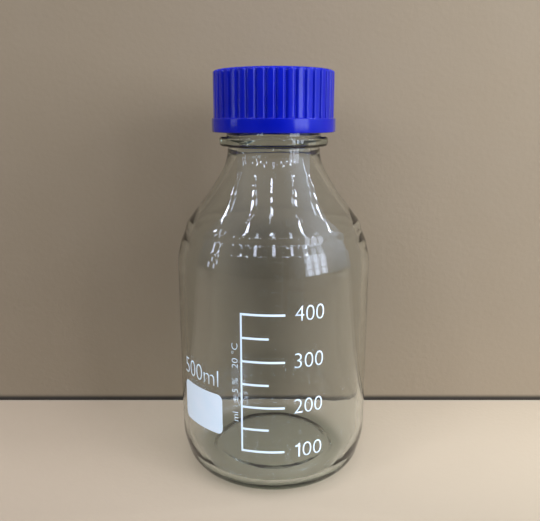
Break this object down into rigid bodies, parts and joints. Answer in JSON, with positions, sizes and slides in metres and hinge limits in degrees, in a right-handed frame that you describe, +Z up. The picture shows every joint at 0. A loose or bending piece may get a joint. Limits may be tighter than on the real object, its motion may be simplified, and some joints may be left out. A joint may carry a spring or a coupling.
{
  "type": "reagent bottle",
  "caption": "Clear glass laboratory bottle with a stepped conical shoulder, a printed volume scale and writing field, and a ribbed blue screw cap over a drip-free pouring ring.",
  "frame": {"origin": "middle of the base, on the surface that the bottle stands on", "axes": "+Z up along the axis of the bottle, -Y towards the printed scale, +X to the right when the scale faces the viewer"},
  "size_m": [0.086, 0.0861, 0.177],
  "materials": {
    "glass": "clear, fire polished",
    "blue_plastic": "semi-gloss moulded polypropylene",
    "liner": "soft, matte",
    "white_enamel": "satin, fired onto the glass"
  },
  "bodies": {
    "bottle": {"glass_bottle": "glass", "pouring_ring": "blue_plastic", "volume_scale": "white_enamel", "marking_spot": "white_enamel"},
    "liner": {"cap_liner": "liner"},
    "cap": {"screw_cap": "blue_plastic"}
  },
  "joints": [
    {"name": "liner_lift", "type": "slide", "parent": "bottle", "child": "liner", "axis": [0, 0, 1], "range_m": [0, 0.0401]},
    {"name": "cap_turn", "type": "hinge", "parent": "liner", "child": "cap", "pos_m": [0, 0, 0.1748], "axis": [0, 0, 1], "range_deg": [0, 3600]}
  ],
  "couplings": [
    {"joint": "liner_lift", "follows": "cap_turn", "m_per_rad": 0.00063662}
  ]
}
